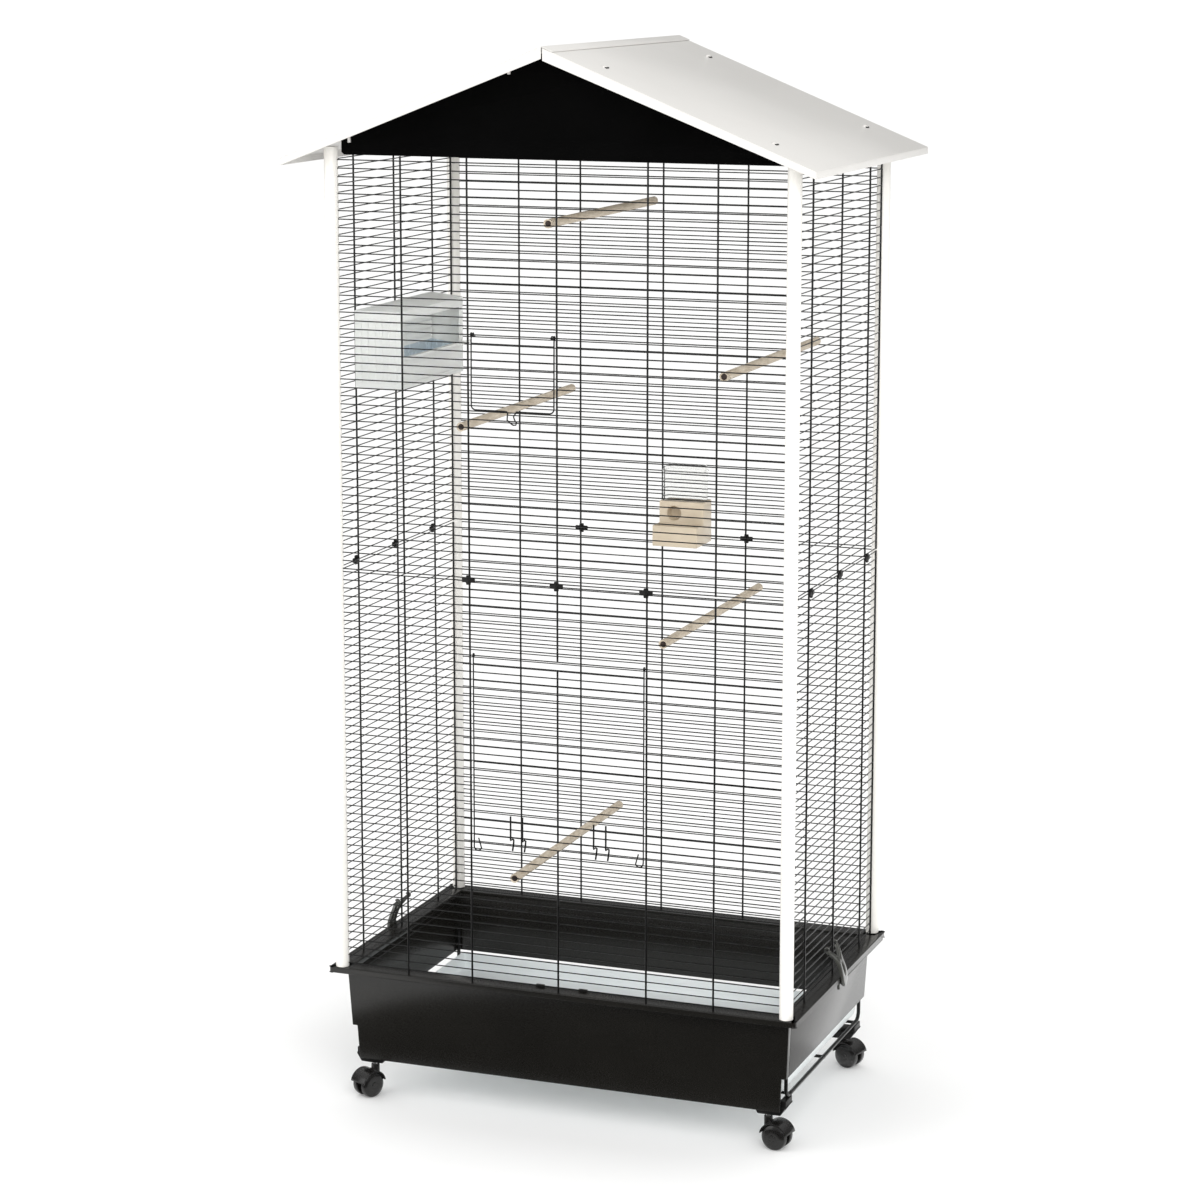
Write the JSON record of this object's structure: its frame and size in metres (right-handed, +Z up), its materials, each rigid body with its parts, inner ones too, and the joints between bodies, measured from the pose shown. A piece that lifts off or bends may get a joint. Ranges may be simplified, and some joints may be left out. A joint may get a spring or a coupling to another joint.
{
  "type": "bird cage on stand",
  "caption": "Tall rolling wire bird aviary with a gabled sheet roof, top-hung front doors, a litter drawer, perches, a seed feeder and a bath.",
  "frame": {"origin": "centre of the whole object's footprint, on the floor under the casters", "axes": "+X to the cage's right, +Y to the back, +Z up; the doors and the drawer face -Y"},
  "size_m": [0.8296, 0.598, 1.6455],
  "materials": {
    "cream_paint": "satin powder coat",
    "roof_paint": "satin powder coat",
    "black_sheet": "matt black powder coat",
    "black_wire": "satin black powder coat",
    "chassis_black": "satin black powder coat",
    "black_base": "soft gloss, lightly worn",
    "black_fitting": "moulded, matt",
    "pale_plastic": "moulded, translucent pale grey",
    "caster_black": "moulded, matt",
    "latch_black": "moulded, glossy",
    "perch_beige": "ribbed, matt",
    "feeder_beige": "moulded, soft gloss",
    "clear_plastic": "clear, slightly hazed",
    "bath_plastic": "translucent white",
    "basin_blue": "pale blue, soft gloss"
  },
  "bodies": {
    "cage": {"base_tub": "black_base", "bath_basin": "basin_blue", "bath_hood": "bath_plastic", "chassis": "chassis_black", "clip_front_left": "black_fitting", "clip_front_middle": "black_fitting", "clip_front_right": "black_fitting", "clip_left_front": "black_fitting", "clip_left_middle": "black_fitting", "clip_left_rear": "black_fitting", "clip_rear_left": "black_fitting", "clip_rear_middle": "black_fitting", "clip_rear_right": "black_fitting", "clip_right_front": "black_fitting", "clip_right_middle": "black_fitting", "clip_right_rear": "black_fitting", "feeder_base": "feeder_beige", "feeder_reservoir": "clear_plastic", "foot_front_left": "black_fitting", "foot_front_right": "black_fitting", "foot_rear_left": "black_fitting", "foot_rear_right": "black_fitting", "gable_front": "black_sheet", "gable_rear": "black_sheet", "lower_panel_front": "black_wire", "lower_panel_left": "black_wire", "lower_panel_rear": "black_wire", "lower_panel_right": "black_wire", "perch_1": "perch_beige", "perch_2": "perch_beige", "perch_3": "perch_beige", "perch_4": "perch_beige", "perch_5": "perch_beige", "post_front_left": "cream_paint", "post_front_right": "cream_paint", "post_rear_left": "cream_paint", "post_rear_right": "cream_paint", "roof_left": "roof_paint", "roof_right": "roof_paint", "upper_panel_front": "black_wire", "upper_panel_left": "black_wire", "upper_panel_rear": "black_wire", "upper_panel_right": "black_wire"},
    "door_upper": {"upper_door": "black_wire"},
    "door_lower": {"lower_door": "black_wire"},
    "drawer": {"drawer_front": "black_base", "drawer_tray": "pale_plastic"},
    "lever_left": {"latch_left": "latch_black"},
    "lever_right": {"latch_right": "latch_black"},
    "swivel_front_left": {"caster_yoke_front_left": "caster_black"},
    "roll_front_left": {"caster_wheels_front_left": "caster_black"},
    "swivel_front_right": {"caster_yoke_front_right": "caster_black"},
    "roll_front_right": {"caster_wheels_front_right": "caster_black"},
    "swivel_rear_right": {"caster_yoke_rear_right": "caster_black"},
    "roll_rear_right": {"caster_wheels_rear_right": "caster_black"},
    "swivel_rear_left": {"caster_yoke_rear_left": "caster_black"},
    "roll_rear_left": {"caster_wheels_rear_left": "caster_black"}
  },
  "joints": [
    {"name": "upper_door_hinge", "type": "hinge", "parent": "cage", "child": "door_upper", "pos_m": [-0.071, -0.231, 1.2178], "axis": [-1, 0, 0], "range_deg": [0, 130]},
    {"name": "lower_door_hinge", "type": "hinge", "parent": "cage", "child": "door_lower", "pos_m": [0, -0.231, 0.7305], "axis": [-1, 0, 0], "range_deg": [0, 130]},
    {"name": "drawer_slide", "type": "slide", "parent": "cage", "child": "drawer", "axis": [0, -1, 0], "range_m": [0, 0.38]},
    {"name": "latch_left_hinge", "type": "hinge", "parent": "cage", "child": "lever_left", "pos_m": [-0.363, 0, 0.2606], "axis": [0, 1, 0], "range_deg": [0, 75]},
    {"name": "latch_right_hinge", "type": "hinge", "parent": "cage", "child": "lever_right", "pos_m": [0.363, 0, 0.2606], "axis": [0, -1, 0], "range_deg": [0, 75]},
    {"name": "swivel_front_left", "type": "hinge", "parent": "cage", "child": "swivel_front_left", "pos_m": [-0.3255, -0.195, 0.045], "axis": [0, 0, 1], "continuous": true},
    {"name": "roll_front_left", "type": "hinge", "parent": "swivel_front_left", "child": "roll_front_left", "pos_m": [-0.33208, -0.20848, 0.02], "axis": [0.8988, -0.4384, 0], "continuous": true},
    {"name": "swivel_front_right", "type": "hinge", "parent": "cage", "child": "swivel_front_right", "pos_m": [0.3255, -0.195, 0.045], "axis": [0, 0, 1], "continuous": true},
    {"name": "roll_front_right", "type": "hinge", "parent": "swivel_front_right", "child": "roll_front_right", "pos_m": [0.34027, -0.1976, 0.02], "axis": [0.1736, 0.9848, 0], "continuous": true},
    {"name": "swivel_rear_right", "type": "hinge", "parent": "cage", "child": "swivel_rear_right", "pos_m": [0.3255, 0.195, 0.045], "axis": [0, 0, 1], "continuous": true},
    {"name": "roll_rear_right", "type": "hinge", "parent": "swivel_rear_right", "child": "roll_rear_right", "pos_m": [0.33984, 0.19061, 0.02], "axis": [0.2924, 0.9563, 0], "continuous": true},
    {"name": "swivel_rear_left", "type": "hinge", "parent": "cage", "child": "swivel_rear_left", "pos_m": [-0.3255, 0.195, 0.045], "axis": [0, 0, 1], "continuous": true},
    {"name": "roll_rear_left", "type": "hinge", "parent": "swivel_rear_left", "child": "roll_rear_left", "pos_m": [-0.3392, 0.2011, 0.02], "axis": [-0.4067, -0.9135, 0], "continuous": true}
  ]
}
